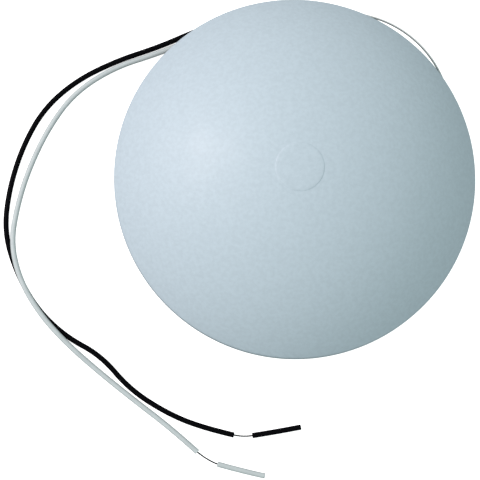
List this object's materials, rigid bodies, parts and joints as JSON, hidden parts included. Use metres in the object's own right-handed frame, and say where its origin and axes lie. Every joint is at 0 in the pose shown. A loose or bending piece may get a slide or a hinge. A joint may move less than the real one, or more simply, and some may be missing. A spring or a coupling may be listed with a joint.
{
  "type": "radar dome antenna",
  "caption": "Compact round radar dome: shallow spherical radome on a base tray, turning array and drive inside, black and white hook-up leads with stripped ends.",
  "frame": {"origin": "centre of the mounting face, under the middle of the dome", "axes": "+Z is the dome axis; the leads leave towards -X beside the +Y edge"},
  "size_m": [0.1989, 0.2014, 0.0558],
  "materials": {
    "radome": "fine moulded grain, satin",
    "tray": "moulded, satin",
    "gasket": "matt",
    "brass": "turned",
    "fastener": "stainless",
    "vent": "moulded",
    "chassis": "machined",
    "steel": "ground",
    "cage": "acetal",
    "motor": "zinc plated",
    "board": "solder mask",
    "component": "moulded",
    "shield": "tinned",
    "black_insulation": "extruded, semi-gloss",
    "white_insulation": "extruded, semi-gloss",
    "strands": "tinned copper"
  },
  "bodies": {
    "housing": {"base_tray": "tray", "bearing_spacer": "vent", "black_lead": "black_insulation", "black_lead_slug": "black_insulation", "black_lead_strands": "strands", "board_screws": "fastener", "breather_vent": "vent", "cable_grommet": "gasket", "chassis_plate": "chassis", "chassis_screws": "fastener", "chassis_standoffs": "chassis", "deck_gasket": "gasket", "drive_motor": "motor", "index_sensor": "board", "inner_black_lead": "black_insulation", "inner_white_lead": "white_insulation", "lead_clamp": "vent", "lead_clamp_screws": "fastener", "link_board_spacers": "vent", "lower_bearing_inner_race": "steel", "motor_screws": "fastener", "mounting_inserts": "brass", "power_board": "board", "power_components": "component", "radio_link_board": "board", "radio_module": "shield", "radome": "radome", "radome_screws": "fastener", "radome_seal": "gasket", "retaining_ring": "steel", "slip_ring_bands": "brass", "slip_ring_core": "vent", "spindle_post": "chassis", "spindle_screws": "fastener", "terminal_block": "vent", "upper_bearing_inner_race": "steel", "white_lead": "white_insulation", "white_lead_slug": "white_insulation", "white_lead_strands": "strands"},
    "scanner": {"rotor_hub": "chassis", "lower_bearing_outer_race": "steel", "upper_bearing_outer_race": "steel", "drive_gear": "cage", "index_magnet": "steel", "rotor_screws": "fastener", "scanner_yoke": "chassis", "array_board": "board", "array_patches": "shield", "shield_cans": "shield", "array_screws": "fastener", "counterweight": "steel", "counterweight_screw": "fastener", "slip_ring_brushes": "brass", "brush_block": "vent"},
    "pinion": {"motor_shaft": "steel", "motor_pinion": "cage"},
    "lower_ball_set": {"lower_bearing_balls": "steel", "lower_bearing_cage": "cage"},
    "upper_ball_set": {"upper_bearing_balls": "steel", "upper_bearing_cage": "cage"}
  },
  "joints": [
    {"name": "scanner_spin", "type": "hinge", "parent": "housing", "child": "scanner", "pos_m": [0, 0, 0.026], "axis": [0, 0, 1], "continuous": true},
    {"name": "pinion_spin", "type": "hinge", "parent": "housing", "child": "pinion", "pos_m": [0, -0.036, 0.0197], "axis": [0, 0, 1], "continuous": true},
    {"name": "lower_ball_roll", "type": "hinge", "parent": "housing", "child": "lower_ball_set", "pos_m": [0, 0, 0.0215], "axis": [0, 0, 1], "continuous": true},
    {"name": "upper_ball_roll", "type": "hinge", "parent": "housing", "child": "upper_ball_set", "pos_m": [0, 0, 0.0295], "axis": [0, 0, 1], "continuous": true}
  ],
  "couplings": [
    {"joint": "pinion_spin", "follows": "scanner_spin", "ratio": -4},
    {"joint": "lower_ball_roll", "follows": "scanner_spin", "ratio": 0.59655},
    {"joint": "upper_ball_roll", "follows": "scanner_spin", "ratio": 0.59655}
  ]
}
